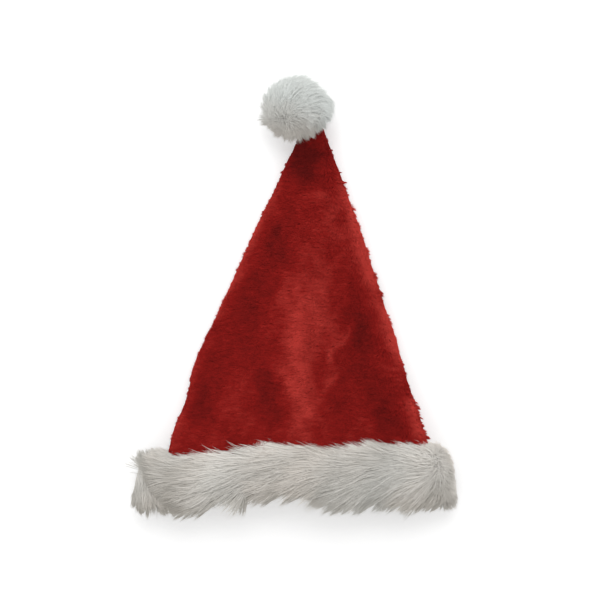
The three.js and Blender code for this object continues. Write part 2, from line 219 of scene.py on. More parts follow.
# Painted sheen and shade where the crown's nap lies brighter or darker, on its ridges and in its valleys:
# x and y are places in millimetres from the middle of the hat, long and wide are half sizes, and turn is
# in degrees from along the hat towards its left
nap_sheen_and_shade_marks = (
    {"x": 7, "y": -42, "long": 58, "wide": 14, "turn": 0, "tone": 0.4},
    {"x": 2, "y": -66, "long": 30, "wide": 10, "turn": 8, "tone": 0.2},
    {"x": 15, "y": -108, "long": 34, "wide": 12, "turn": 2, "tone": 0.32},
    {"x": 12, "y": 22, "long": 36, "wide": 9, "turn": -6, "tone": 0.12},
    {"x": 34, "y": -26, "long": 44, "wide": 11, "turn": 2, "tone": 0.18},
    {"x": -72, "y": -88, "long": 32, "wide": 10, "turn": -16, "tone": -0.12},
    {"x": 54, "y": 44, "long": 34, "wide": 9, "turn": 14, "tone": 0.12},
    {"x": 70, "y": 34, "long": 42, "wide": 7, "turn": 18, "tone": 0.28},
    {"x": 27, "y": 2, "long": 30, "wide": 9, "turn": -4, "tone": 0.26},
    {"x": -6, "y": 8, "long": 20, "wide": 6, "turn": 2, "tone": 0.12},
    {"x": -11, "y": 60, "long": 52, "wide": 12, "turn": -8, "tone": -0.2},
    {"x": -42, "y": -10, "long": 70, "wide": 15, "turn": -22, "tone": -0.22},
    {"x": -24, "y": -98, "long": 42, "wide": 10, "turn": 16, "tone": -0.3},
    {"x": -22, "y": -66, "long": 26, "wide": 6, "turn": 22, "tone": -0.16},
    {"x": 70, "y": -32, "long": 66, "wide": 12, "turn": 10, "tone": -0.3},
    {"x": 92, "y": -112, "long": 34, "wide": 14, "turn": 14, "tone": -0.24},
    {"x": 46, "y": -90, "long": 34, "wide": 12, "turn": -10, "tone": -0.12},
    {"x": -50, "y": -104, "long": 30, "wide": 11, "turn": -8, "tone": 0.08},
    {"x": -92, "y": -104, "long": 30, "wide": 13, "turn": -18, "tone": -0.24},
    {"x": 37, "y": -92, "long": 17, "wide": 5, "turn": -6, "tone": 0.3},
    {"x": 46, "y": -46, "long": 26, "wide": 3.5, "turn": -31, "tone": 0.24},
    {"x": 30, "y": -66, "long": 16, "wide": 4, "turn": -8, "tone": -0.2},
    {"x": -44, "y": 62, "long": 30, "wide": 10, "turn": -20, "tone": 0.12},
    # The two marks near the tip are painted shadow of the pompom on the crown
    {"x": 14, "y": 128, "long": 16, "wide": 22, "turn": 0, "tone": -0.24},
    {"x": 10, "y": 146, "long": 16, "wide": 16, "turn": 0, "tone": -0.7},
    {"x": 34, "y": 90, "long": 24, "wide": 8, "turn": 12, "tone": 0.14},
    {"x": 28, "y": 106, "long": 5, "wide": 10, "turn": 0, "tone": 0.2},
)

# The picture is 600 mm wide at the height of the hat, seen from straight above
picture_width = 0.6
picture_middle = Vector((6.5 * mm, -1 * mm))
picture_level = 25 * mm
camera_height = 1.8
camera_sensor = 36
camera_lens = camera_sensor * (camera_height - picture_level) / picture_width

# The lamps are square panels turned to the hat: places and sizes in metres, power in watts
lamps = (
    {"name": "sky_panel", "place": (0.1, 1.5, 1.9), "size": 1.8, "power": 21},
    {"name": "side_panel", "place": (-1.7, 0.1, 1.5), "size": 1.6, "power": 6},
)
sky_strength = 0.7
floor_size = 12


class Value:
    """A number or colour in a material, on which Python's operators add Math nodes."""

    def __init__(self, paint, socket):
        self.paint = paint
        self.socket = socket

    def math(self, operation, other, swapped=False):
        pair = (other, self) if swapped else (self, other)
        return self.paint.node("ShaderNodeMath", {"operation": operation}, {0: pair[0], 1: pair[1]})

    def __add__(self, other):
        return self.math("ADD", other)

    def __sub__(self, other):
        return self.math("SUBTRACT", other)

    def __rsub__(self, other):
        return self.math("SUBTRACT", other, swapped=True)

    def __mul__(self, other):
        return self.math("MULTIPLY", other)

    __radd__ = __add__
    __rmul__ = __mul__


class Paint:
    """A material on one Principled shader."""

    def __init__(self, name, **shine):
        self.material = bpy.data.materials.new(name)
        self.material.use_nodes = True
        self.tree = self.material.node_tree
        self.shader = self.tree.nodes["Principled BSDF"]
        for socket, value in shine.items():
            self.shader.inputs[socket.replace("_", " ")].default_value = value

    def node(self, kind, settings=None, inputs=None, output=0):
        made = self.tree.nodes.new(kind)
        for name, value in (settings or {}).items():
            setattr(made, name, value)
        for name, value in (inputs or {}).items():
            self.put(made.inputs[name], value)
        return Value(self, made.outputs[output])

    def put(self, socket, value):
        if isinstance(value, Value):
            self.tree.links.new(value.socket, socket)
        else:
            socket.default_value = value

    def blend(self, share, low, high):
        settings = {"data_type": "RGBA", "clamp_factor": True}
        return self.node("ShaderNodeMix", settings, {0: share, 6: low, 7: high}, 2)

    def feed(self, **links):
        for socket, value in links.items():
            self.put(self.shader.inputs[socket.replace("_", " ")], value)
        return self.material


def tuft_parts(paint):
    """The tone, the share of the way to the tip and the tint that each strand carries."""
    colour = paint.node("ShaderNodeAttribute", {"attribute_name": "tuft"}, output="Color")
    return [paint.node("ShaderNodeSeparateColor", {}, {0: colour}, k) for k in range(3)]


def plush_pile_material():
    paint = Paint("plush_pile", Roughness=0.8, Specular_IOR_Level=0.12)
    tone, reach, tint = tuft_parts(paint)
    shaded = paint.blend(tone * 2.0, (0.14, 0.0055, 0.0055, 1), (0.4, 0.013, 0.011, 1))
    lit = paint.blend(tone * 2.0 - 1.0, shaded, (0.8, 0.072, 0.056, 1))
    warm = paint.blend(tint * 0.25, lit, (0.46, 0.02, 0.012, 1))
    # Painted shade: each blade is darker towards its root, where the pile shades itself
    return paint.feed(Base_Color=paint.blend(reach * 0.5 + 0.5, (0.08, 0.0025, 0.0025, 1), warm))


def plush_backing_material():
    paint = Paint("plush_backing", Roughness=0.95, Specular_IOR_Level=0.1)
    place = paint.node("ShaderNodeTexCoord", output="Object")
    knit = paint.node("ShaderNodeTexNoise", {}, {"Vector": place, "Scale": 420.0, "Detail": 3.0})
    bump = paint.node("ShaderNodeBump", {}, {"Strength": 0.5, "Distance": 0.0006, "Height": knit})
    colour = paint.blend(knit, (0.1, 0.0035, 0.0035, 1), (0.24, 0.009, 0.008, 1))
    return paint.feed(Base_Color=colour, Normal=bump)


def white_fur_material():
    paint = Paint("white_fur", Roughness=0.55, Specular_IOR_Level=0.3)
    tone, reach, tint = tuft_parts(paint)
    cool = paint.blend(tone, (0.46, 0.485, 0.47, 1), (0.87, 0.915, 0.9, 1))
    warm = paint.blend(tone, (0.5, 0.47, 0.42, 1), (0.96, 0.9, 0.835, 1))
    strand = paint.blend(tint, cool, warm)
    # Painted shade: each strand is darker towards its root, where the fur shades itself
    return paint.feed(Base_Color=paint.blend(reach * 0.5 + 0.5, (0.7, 0.68, 0.64, 1), strand))


def fur_skin_material():
    paint = Paint("fur_skin", Roughness=0.95, Specular_IOR_Level=0.2)
    place = paint.node("ShaderNodeTexCoord", output="Object")
    stubble = paint.node("ShaderNodeTexNoise", {}, {"Vector": place, "Scale": 600.0, "Detail": 2.0})
    bump = paint.node("ShaderNodeBump", {}, {"Strength": 0.8, "Distance": 0.001, "Height": stubble})
    # The skin is darker than the fur, as painted shade in the gaps between the strands
    colour = paint.blend(stubble, (0.5, 0.49, 0.46, 1), (0.74, 0.73, 0.69, 1))
    return paint.feed(Base_Color=colour, Normal=bump)


def floor_material():
    paint = Paint("pale_floor", Roughness=0.9, Emission_Color=(1, 1, 1, 1), Emission_Strength=0.3)
    return paint.feed(Base_Color=(0.9, 0.9, 0.9, 1))


def unit(vectors):
    return vectors / np.maximum(np.linalg.norm(vectors, axis=-1, keepdims=True), 1e-12)


def wander(points, size, seed):
    """A smooth value from about -1 to 1 that changes over a length of size."""
    waves = np.random.default_rng(seed)
    total = np.zeros(len(points))
    for _ in range(7):
        way = unit(waves.normal(size=points.shape[1])) * waves.uniform(0.6, 1.5) * 2 * math.pi / size
        total += np.sin(points @ way + waves.uniform(0, 2 * math.pi))
    return total / 2.6


def turned(vectors, axes, angles):
    """Vectors turned about unit axes, which they stand square to."""
    angles = np.asarray(angles)[..., None]
    return vectors * np.cos(angles) + np.cross(axes, vectors) * np.sin(angles)


def flattened(vectors, normals):
    """Vectors without the part that points into the surface."""
    into = np.minimum((vectors * normals).sum(-1, keepdims=True), 0)
    return unit(vectors - normals * into)


def read_rows(rows, column, places):
    """A table's column at places across the hat in metres."""
    return np.interp(places, [row["x"] * mm for row in rows], [row[column] for row in rows])


def link(name, mesh, material):
    piece = bpy.data.objects.new(name, mesh)
    bpy.context.scene.collection.objects.link(piece)
    mesh.materials.clear()
    mesh.materials.append(material)
    return piece


def mesh_of(name, points, faces):
    """A mesh whose faces all have as many corners as a row of faces."""
    mesh = bpy.data.meshes.new(name)
    corners = faces.shape[1]
    mesh.vertices.add(len(points))
    mesh.vertices.foreach_set("co", np.ascontiguousarray(points, np.float32).ravel())
    mesh.loops.add(faces.size)
    mesh.loops.foreach_set("vertex_index", np.ascontiguousarray(faces, np.int32).ravel())
    mesh.polygons.add(len(faces))
    mesh.polygons.foreach_set("loop_start", np.arange(len(faces), dtype=np.int32) * corners)
    mesh.update(calc_edges=True)
    mesh.validate()
    return mesh


def ribbons(name, paths, sides, widths, facing, tuft, material):
    """Strands as flat ribbons that end in a point: paths, sides and facing are strands by steps by 3,
    widths has one step less, and tuft is strands by 2."""
    count, steps, _ = paths.shape
    pairs = steps - 1
    corners = 2 * pairs + 1
    half = sides[:, :pairs] * widths[..., None] / 2
    edges = np.stack([paths[:, :pairs] - half, paths[:, :pairs] + half], axis=2)
    points = np.concatenate([edges.reshape(count, -1, 3), paths[:, pairs:]], axis=1)
    pattern = [(2 * pairs - 2, 2 * pairs - 1, 2 * pairs)]
    for k in range(0, 2 * pairs - 2, 2):
        pattern += [(k, k + 1, k + 3), (k, k + 3, k + 2)]
    faces = np.arange(count)[:, None, None] * corners + np.array(pattern)
    faces = faces.reshape(-1, 3)
    mesh = mesh_of(name, points.reshape(-1, 3), faces)
    spread = np.append(np.repeat(np.arange(pairs), 2), pairs)
    mesh.normals_split_custom_set_from_vertices(facing[:, spread].reshape(-1, 3).tolist())
    reach = np.linspace(0, 1, steps)[spread]
    colours = np.ones((count, corners, 4), np.float32)
    colours[..., 0] = tuft[:, :1]
    colours[..., 1] = reach
    colours[..., 2] = tuft[:, 1:]
    mesh.attributes.new("tuft", "FLOAT_COLOR", "POINT").data.foreach_set("color", colours.ravel())
    columns = math.ceil(math.sqrt(count * 4))
    rows = math.ceil(count / columns)
    cell = np.arange(count)
    across = np.append(np.tile((0.15, 0.85), pairs), 0.5)
    grid = np.zeros((count, corners, 2), np.float32)
    grid[..., 0] = ((cell % columns)[:, None] + across) / columns
    grid[..., 1] = ((cell // columns)[:, None] + 0.1 + 0.8 * reach) / rows
    uv = mesh.uv_layers.new(name="OFBake")
    uv.data.foreach_set("uv", grid.reshape(-1, 2)[faces.ravel()].ravel())
    return link(name, mesh, material)


def nearest(points, guides):
    """For each point the number of the guide next to it."""
    tree = KDTree(len(guides))
    for k, guide in enumerate(guides):
        tree.insert(guide, k)
    tree.balance()
    return np.array([tree.find(point)[1] for point in points])


def ribbon_frame(path, normals, roll, softness):
    """Which way each step of a ribbon is wide, and the soft normal that it is shaded with. A ribbon
    on a steep or overhanging skin is turned to be seen from above."""
    rise = np.clip((normals[:, 2] + 0.9) / 0.6, 0, 1)[:, None] * np.array((0, 0, 1.2))
    outward = unit(normals + rise)[:, None, :]
    run = unit(np.gradient(path, axis=1))
    side = unit(np.cross(run, outward))
    side = turned(side, run, np.repeat(roll[:, None], path.shape[1], axis=1))
    facing = unit(np.cross(side, run) * (1 - softness) + outward * softness)
    return side, facing


def leaders(roots, guides):
    """For each root the strand that leads its lock, which is the one next to the lock's guide."""
    chief = nearest(guides, roots)
    return chief[nearest(roots, guides)]


def crowd(hold, count, chance):
    """Picks of roots, closer together where the fur stands up in a parting."""
    weight = 1 + 5 * (1 - hold)
    return chance.choice(len(hold), count, replace=False, p=weight / weight.sum())


class Fur:
    """Strands that grow on a skin, are combed, gather in small locks and wide tufts and end in a
    point. A share of them is short fluff that lies any way between the others."""

    def __init__(self, roots, normals, combs, seed, guides, steps=4, fluff=0.15):
        self.chance = np.random.default_rng(seed)
        self.seed = seed
        self.roots = roots
        self.normals = normals
        self.combs = combs
        self.steps = steps
        self.count = len(roots)
        picked = self.chance.choice(self.count, self.count // small_lock, replace=False)
        self.lock = leaders(roots, roots[picked])
        self.tuft = leaders(roots, guides)
        self.lock_chance = self.chance.uniform(-1, 1, (self.count, 4))[self.lock]
        self.fluff = self.chance.uniform(0, 1, self.count) < fluff

    def grow(self, lengths, stand, sag, gather, bunch, hold):
        """stand is the strands' slope where they leave the skin and sag how they bend to the floor.
        gather and bunch are how far the tips go towards their lock's tip and their tuft's. hold is
        how firmly the strands are combed, and they stand up where it is low."""
        combs, normals = self.combs, self.normals
        across = np.cross(normals, combs)
        stray = np.where(self.chance.uniform(0, 1, self.count) < 0.06, 0.34, 0.1) + 0.7 * self.fluff
        stray = stray + 1.6 * (1 - hold)
        single = self.chance.normal(0, 1, self.count).clip(-1.8, 1.8)
        turn = self.lock_chance[:, 0] * 0.07 + single * stray
        turn += 0.15 * wander(self.roots, 42 * mm, self.seed + 2)
        turn += 0.14 * wander(self.roots, 15 * mm, self.seed + 3)
        combs = unit(combs + across * turn[:, None])
        lengths = lengths * (1 + 0.12 * self.lock_chance[:, 1])
        middle = np.linalg.norm(self.roots - self.roots[self.tuft], axis=-1)
        lengths = lengths * (1 + 0.35 * bunch * (1 - middle / (4 * mm)).clip(-1, 1))
        lengths = lengths * (1 - 0.45 * self.fluff) * (0.55 + 0.45 * hold)
        stand = stand * (1 + 0.25 * self.lock_chance[:, 2]) + 0.3 * self.fluff + 1.1 * (1 - hold)
        phase = wander(self.roots, 34 * mm, self.seed + 1) * 2.5 + self.lock_chance[:, 3] * 0.6
        path = np.repeat(self.roots[:, None, :], self.steps + 1, axis=1)
        for step in range(1, self.steps + 1):
            t = (step - 0.5) / self.steps
            way = combs * hold[:, None] + normals * (stand * (1 - t) ** 1.3)[:, None]
            way = way + across * (0.12 * np.sin(phase + 3.2 * t))[:, None]
            way[:, 2] -= sag * t
            path[:, step] = path[:, step - 1] + unit(way) * (lengths / self.steps)[:, None]
        share = np.linspace(0, 1, self.steps + 1) ** 1.4
        for leader, pull, spread in ((self.lock, gather, 0.2), (self.tuft, bunch, 0.06)):
            pull = pull * self.chance.uniform(0.5, 1.0, self.count) * (1 - 0.8 * self.fluff) * hold
            beside = (self.roots - self.roots[leader])[:, None, :] * spread
            path += (path[leader] + beside - path) * (pull[:, None] * share)[..., None]
        path[..., 2] = np.maximum(path[..., 2], floor_clearance)
        self.path = path
        return self

    def piece(self, name, width, tone, tint, roll=0.12, softness=0.95):
        count = self.count
        rolls = self.chance.normal(0, roll, count)
        side, facing = ribbon_frame(self.path, self.normals, rolls, softness)
        taper = np.interp(np.linspace(0, 1, self.steps + 1), (0, 0.3, 0.7, 1), (0.8, 1, 0.8, 0.3))[:-1]
        widths = taper * (width * self.chance.uniform(0.6, 1.3, count))[:, None]
        shade = tone + 0.07 * self.lock_chance[:, 3] + self.chance.normal(0, 0.08, count)
        tuft = np.clip(np.stack([shade, tint + 0 * shade], axis=-1), 0, 1)
        return ribbons(name, self.path, side, widths, facing, tuft, white_fur)


def bar_outline(share, half_long, radius):
    """Places and outward normals round a bar with round ends, share from 0 to 1 of the way round."""
    straight = 2 * (half_long - radius)
    arc = math.pi * radius
    way = (share % 1) * 2 * (straight + arc)
    place = np.zeros((len(share), 2))
    normal = np.zeros((len(share), 2))
    for k in range(2):
        start = k * (straight + arc)
        flip = 1 - 2 * k
        on_side = (way >= start) & (way < start + straight)
        place[on_side, 0] = flip * (way[on_side] - start - straight / 2)
        place[on_side, 1] = flip * radius
        normal[on_side, 1] = flip
        on_arc = (way >= start + straight) & (way < start + straight + arc)
        turn = (way[on_arc] - start - straight) / radius
        normal[on_arc, 0] = flip * np.sin(turn)
        normal[on_arc, 1] = flip * np.cos(turn)
        place[on_arc] = normal[on_arc] * radius
        place[on_arc, 0] += flip * straight / 2
    return place, normal


def band_surface(around, over):
    """Places and normals of the band's skin, and how high each place is, from -1 at the hem to 1 at
    the top edge. around goes once round the mouth from its left end, and over goes round the band's
    own section, up the outer leg first."""
    ring, ring_normal = bar_outline(around, mouth_half_width, mouth_end_radius)
    half_high = (band_high.y - band_low.y) / 2 - band_inset
    section, section_normal = bar_outline(over, half_high, band_half_thickness)
    high = section[:, 0] / half_high
    reach = ring[:, 0] / mouth_half_width
    power = np.where(reach < 0, left_flare_power, right_flare_power)
    flare = np.where(reach < 0, left_flare, right_flare) * reach * ((1 - high) / 2) ** power
    front = np.clip(ring_normal[:, 1], 0, 1)
    place = np.zeros((len(around), 3))
    place[:, 0] = mouth_middle.x + ring[:, 0] + flare + ring_normal[:, 0] * section[:, 1]
    place[:, 2] = mouth_middle.z + ring[:, 1] + ring_normal[:, 1] * section[:, 1]
    place[:, 2] += front * mouth_bulge * np.cos(reach * math.pi / 2)
    place[:, 2] -= front * band_sag * high * high
    hem = band_low.y + read_rows(band_rows, "hem", place[:, 0]) * mm
    top = band_high.y - read_rows(band_rows, "top", place[:, 0]) * mm
    place[:, 1] = hem + (top - hem) * (high + 1) / 2
    normal = np.zeros((len(around), 3))
    normal[:, 0] = ring_normal[:, 0] * section_normal[:, 1]
    normal[:, 1] = section_normal[:, 0]
    normal[:, 2] = ring_normal[:, 1] * section_normal[:, 1]
    normal[:, 1] += front * 2 * band_sag * high / half_high * np.abs(section_normal[:, 1])
    return place, unit(normal), high


def only(piece):
    bpy.ops.object.select_all(action="DESELECT")
    piece.select_set(True)
    bpy.context.view_layer.objects.active = piece


def face_out(piece):
    only(piece)
    bpy.ops.object.mode_set(mode="EDIT")
    bpy.ops.mesh.select_all(action="SELECT")
    bpy.ops.mesh.normals_make_consistent(inside=False)
    bpy.ops.object.mode_set(mode="OBJECT")


def smooth(piece):
    only(piece)
    bpy.ops.object.shade_smooth()


def points_of(piece):
    flat = np.zeros(len(piece.data.vertices) * 3)
    piece.data.vertices.foreach_get("co", flat)
    return flat.reshape(-1, 3)


def band_skin():
    """The folded band that the fur grows on."""
    rounds = np.arange(skin_rounds) / skin_rounds
    overs = np.arange(skin_overs) / skin_overs
    around, over = np.meshgrid(rounds, overs, indexing="ij")
    points, normals, _ = band_surface(around.ravel(), over.ravel())
    points += normals * (wander(points, 24 * mm, 5) * band_unevenness)[:, None]
    points[:, 2] = np.maximum(points[:, 2], skin_clearance)
    here = np.arange(skin_rounds * skin_overs).reshape(skin_rounds, skin_overs)
    next_round = np.roll(here, -1, axis=0)
    ring = [here, np.roll(here, -1, axis=1), np.roll(next_round, -1, axis=1), next_round]
    faces = np.stack(ring, axis=-1).reshape(-1, 4)
    piece = link("band_skin", mesh_of("band_skin", points, faces), fur_skin)
    face_out(piece)
    smooth(piece)
    return piece


def band_combs(x, high):
    """The way that the band's fur is combed at places across the hat and heights up the band."""
    shares = (np.clip(-high, 0, 1), 1 - np.abs(high), np.clip(high, 0, 1))
    combs = np.zeros((len(x), 3))
    for column, share in zip(("low", "mid", "high"), shares):
        way = np.radians(read_rows(band_rows, column, x))
        combs[:, 0] += share * np.cos(way)
        combs[:, 1] += share * np.sin(way)
    return unit(combs)


def fold_distance(points):
    """How far each point lies past the fold at the band's left end, negative before it."""
    run = np.array((end_fold["x1"] - end_fold["x0"], end_fold["y1"] - end_fold["y0"]))
    square = unit(np.array((run[1], -run[0])))
    return (points[:, :2] - np.array((end_fold["x0"], end_fold["y0"])) * mm) @ square


def parting_depth(points):
    """How deep in a parting of the band each point lies, from 0 to 1."""
    depth = np.zeros(len(points))
    for line in band_partings:
        start = np.array((line["x0"], line["y0"])) * mm
        run = np.array((line["x1"], line["y1"])) * mm - start
        along = np.clip(((points[:, :2] - start) @ run) / (run @ run), 0, 1)
        away = np.linalg.norm(points[:, :2] - start - along[:, None] * run, axis=-1)
        depth = np.maximum(depth, line["deep"] * np.exp(-((away / (line["wide"] * mm)) ** 2)))
    return depth


def band_guides():
    """The places that the band's tufts gather to."""
    chance = np.random.default_rng(60)
    around = chance.uniform(0, 1, band_tufts)
    over = chance.uniform(mouth_part[0], outer_part[1], band_tufts)
    return band_surface(around, over)[0]


def ease(values):
    """Shares from 0 to 1 that leave and arrive softly."""
    values = np.clip(values, 0, 1)
    return values * values * (3 - 2 * values)


def turn_ends(combs, roots, normals, high, chance):
    """Turn the fur outwards over the band's right end, and let the fur past its left fold hang. The
    combs come back shorter than one where the fur stands between two ways, with which strands hang
    and how far each is turned outwards, from 0 to 1."""
    past = fold_distance(roots)
    start = (end_fold["y0"] - end_fold["drop"] + chance.normal(0, end_fold["uneven"], len(roots))) * mm
    past_fold = (past > 0) & (roots[:, 1] < start + end_fold["drop"] * mm)
    on_end = (normals[:, 0] < -0.6) & (roots[:, 1] < start)
    hanging = past_fold | on_end
    ways = (end_fold["near"], end_fold["far"])
    way = np.radians(np.interp(past, (0, end_fold["wide"] * mm), ways))
    combs[hanging] = np.stack([np.cos(way), np.sin(way), 0 * way], axis=-1)[hanging]
    uneven = chance.normal(0, 0.12, len(roots)) + 0.12 * wander(roots, 14 * mm, 62)
    outward = ease((normals[:, 0] + uneven - 0.35) / 0.6)[:, None]
    way = np.radians(np.interp(high, (-1, 0, 1), [end_turn[k] for k in ("low", "mid", "high")]))
    combs = combs * (1 - outward) + np.stack([np.cos(way), np.sin(way), 0 * way], axis=-1) * outward
    return combs, hanging, outward[:, 0]


def band_tone(roots, high, past, hanging, parting):
    """How much brighter or darker the band's fur is at each root, painted shade and light included."""
    streaks = np.stack([roots[:, 0] * 0.3, roots[:, 1] * 1.3, roots[:, 2]], axis=-1)
    tone = 0.13 * wander(streaks, 12 * mm, 65) + 0.09 * wander(streaks, 5 * mm, 66)
    # The partings are painted darker, as painted shade in the gaps
    tone += 0.09 * wander(roots, 50 * mm, 7) - 0.6 * parting
    # Painted shade towards the hem and painted light towards the top edge
    tone += np.interp(high, (-1, -0.4, 0.3, 0.8, 1), (-0.55, -0.16, 0.0, 0.1, 0.1))
    tone += read_rows(band_rows, "tone", roots[:, 0])
    shaded = np.exp(-(((past + 6 * mm) / (7 * mm)) ** 2))
    return tone + hanging * 0.16 - 0.55 * shaded * (1 - hanging)


def band_fur(name, count, length, width, seed, side="front", steps=4, tone=0.5, fluff=0.15):
    """A layer of the band's strands on its front, on its back or in the mouth."""
    chance = np.random.default_rng(seed)
    tries = count * tries_per_strand
    around = chance.uniform(0, 1, tries)
    over = chance.uniform(*(mouth_part if side == "mouth" else outer_part), tries)
    roots, normals, high = band_surface(around, over)
    if side != "mouth":
        keep = (normals[:, 2] > -0.25) == (side == "front")
        roots, normals, high = roots[keep], normals[keep], high[keep]
    combs = band_combs(roots[:, 0], high)
    combs, hanging, outward = turn_ends(combs, roots, normals, high, chance)
    hold = np.clip(np.linalg.norm(combs, axis=-1), 0, 1)
    keep = crowd(hold, count, chance)
    roots, normals, high, combs = roots[keep], normals[keep], high[keep], combs[keep]
    hanging, outward, hold = hanging[keep], outward[keep], hold[keep]
    combs = flattened(combs, normals)
    out = (roots[:, 0] - mouth_middle.x) / mouth_half_width
    ends = np.clip((np.abs(out) - 0.93) / 0.12, 0, 1)
    past = fold_distance(roots)
    parting = parting_depth(roots) * (side == "front")
    loose = fluff + 1.3 * outward * (1 - outward)
    fur = Fur(roots, normals, combs, seed, band_guides(), steps, loose)
    edge = np.clip(np.abs(high) * 2 - 1, 0, 1)
    lengths = length * (1 - 0.46 * edge) * (1 - 0.45 * ends) * (1 - 0.35 * parting)
    lengths = lengths * fur.chance.uniform(0.7, 1.12, fur.count)
    before = (past < 0) & (past > -length)
    lengths = np.where(before, np.minimum(lengths, fold_reach - past), lengths)
    fringe = fur.chance.uniform(0.6, 1.05, fur.count) * (front_fringe if side == "front" else back_fringe)
    lengths = np.where(hanging, fringe, lengths)
    lengths = lengths + (np.minimum(lengths, end_strand) - lengths) * outward
    stand = (0.36 + 0.1 * fur.chance.normal(size=fur.count)) * (1 - 0.9 * parting)
    stand += 0.12 * np.clip(-normals[:, 0] * 2 - 0.6, 0, 1)
    bunch = 0.1 + 0.6 * np.clip(-high * 3 - 1.8, 0, 1) + 0.1 * np.clip(high * 3 - 2, 0, 1)
    fur.grow(lengths, stand, 0.12 + 0.25 * ends, 0.18, bunch * (1 - 0.4 * hanging), hold)
    shade = tone + band_tone(roots, high, past, hanging, parting)
    tint = 0.8 + 0.15 * wander(roots, 60 * mm, 9) + np.interp(high, (-1, 0), (0.2, 0))
    return fur.piece(name, width, shade, tint)


def pompom_middle():
    return np.array((pompom_low + pompom_high) / 2 + head_offset)


def pompom_head():
    """The ball under the pompom's fur."""
    bpy.ops.object.select_all(action="DESELECT")
    bpy.ops.mesh.primitive_ico_sphere_add(subdivisions=4, radius=1, location=(0, 0, 0))
    piece = bpy.context.object
    piece.name = "pompom_head"
    points = points_of(piece)
    points = points * head_radii * (1 + 0.04 * wander(points, 1.4, 8))[:, None] + pompom_middle()
    points[:, 2] = np.maximum(points[:, 2], skin_clearance)
    piece.data.vertices.foreach_set("co", points.ravel())
    piece.data.materials.append(fur_skin)
    smooth(piece)
    return piece


def pompom_fur(count, seed):
    """The pompom's strands, combed on its top and round its rim as its two tables say."""
    chance = np.random.default_rng(seed)
    tries = count * tries_per_strand
    way = unit(chance.normal(size=(tries, 3)))
    combs = np.zeros((tries, 3))
    total = np.zeros((tries, 1))
    for mark in pompom_combs:
        turn = math.radians(mark["way"])
        away = (way[:, 0] - mark["x"]) ** 2 + (way[:, 1] - mark["y"]) ** 2
        weight = 1 / (away + 0.03)[:, None] ** 1.5
        combs += np.array((math.cos(turn), math.sin(turn), 0)) * weight
        total += weight
    place = np.arctan2(way[:, 1], way[:, 0])
    rim_places = [mark["place"] for mark in pompom_rim]
    turn, rim_stand, rim_long = (
        np.interp(np.degrees(place), rim_places, [mark[column] for mark in pompom_rim])
        for column in ("turn", "stand", "long")
    )
    rim_way = place - np.radians(turn)
    rim_comb = np.stack([np.cos(rim_way), np.sin(rim_way), 0 * rim_way], axis=-1)
    below = ease((0.42 - way[:, 2] + 0.1 * chance.normal(size=tries)) / 0.5)
    combs = combs / total * (1 - below[:, None]) + rim_comb * below[:, None]
    hold = np.clip(np.linalg.norm(combs, axis=-1) * 1.05, 0, 1) ** 1.5
    keep = crowd(hold, count, chance)
    way, combs, below, hold = way[keep], combs[keep], below[keep], hold[keep]
    rim_stand, rim_long = rim_stand[keep], rim_long[keep]
    roots = pompom_middle() + way * head_radii
    normals = unit(way / head_radii)
    combs = flattened(combs, normals)
    guides = roots[chance.choice(count, pompom_tufts, replace=False)]
    fur = Fur(roots, normals, combs, seed, guides, fluff=0.3)
    smooth_top = np.clip(way[:, 1] * 1.6 + 0.3, 0, 1) * np.clip(way[:, 0] * 1.2 + 0.4, 0, 1)
    rim = np.clip(0.8 - way[:, 2] * 1.6, 0, 1)
    lengths = pompom_strand * (1 - 0.35 * ease(-way[:, 1] * 1.4)) * (1 - below) + rim_long * mm * below
    lengths = lengths * fur.chance.uniform(0.65, 1.18, fur.count)
    stand = 0.24 * (1 - below) + rim_stand * below + 0.06 * fur.chance.normal(size=fur.count)
    fur.grow(lengths, stand, 0.15, 0.15, 0.62 * rim * (1 - smooth_top), hold)
    shaded = (way[:, 0] - pompom_shade["x"]) ** 2 + (way[:, 1] - pompom_shade["y"]) ** 2
    tone = 0.7 + 0.05 * wander(roots, 16 * mm, seed + 5)
    tone -= pompom_shade["deep"] * np.exp(-shaded / pompom_shade["wide"] ** 2)
    # Painted light and shade: the fur is brighter on the side away from the crown and darker towards it
    tone += np.interp(way[:, 1], (-1, -0.6, 0.0, 1), (-0.46, -0.38, 0, 0.1))
    tint = 0.1 + np.clip(-way[:, 1] * 1.1 - 0.1, 0, 0.8)
    return fur.piece("pompom_fur", over_width, tone, tint)


def crown_cloth(node, name):
    """The cloth of one panel: the frame's wall made fine, with puckers along its seams."""
    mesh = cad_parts[node].data.copy()
    piece = link(name, mesh, plush_backing)
    only(piece)
    bpy.ops.object.mode_set(mode="EDIT")
    bpy.ops.mesh.select_all(action="SELECT")
    bpy.ops.mesh.remove_doubles(threshold=1e-6)
    bpy.ops.mesh.tris_convert_to_quads()
    bpy.ops.object.mode_set(mode="OBJECT")
    fine = piece.modifiers.new("fine", "SUBSURF")
    fine.levels = 2
    fine.render_levels = 2
    bpy.ops.object.modifier_apply(modifier=fine.name)
    points = points_of(piece)
    edge = seam_distance(points)
    resting = np.clip(points[:, 2] / (6 * mm), 0, 1)
    along = points * np.array((0.3, 1, 0.3))
    pucker = pucker_depth * wander(along, 17 * mm, 12) * np.exp(-((edge / pucker_reach) ** 2))
    points[:, 2] += (cloth_swell * wander(points, 45 * mm, 11) + pucker) * resting
    points[:, 2] = np.maximum(points[:, 2], pile_depth)
    piece.data.vertices.foreach_set("co", points.ravel())
    smooth(piece)
    return piece


def seam_lines():
    """The crown's left and right edges at heights along the hat."""
    places = np.concatenate([points_of(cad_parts[node]) for node in ("crown_front", "crown_back")])
    heights = np.linspace(crown_low.y, crown_high.y, 20)
    rows = [places[np.abs(places[:, 1] - height) < 14 * mm] for height in heights]
    return heights, [row[:, 0].min() for row in rows], [row[:, 0].max() for row in rows]


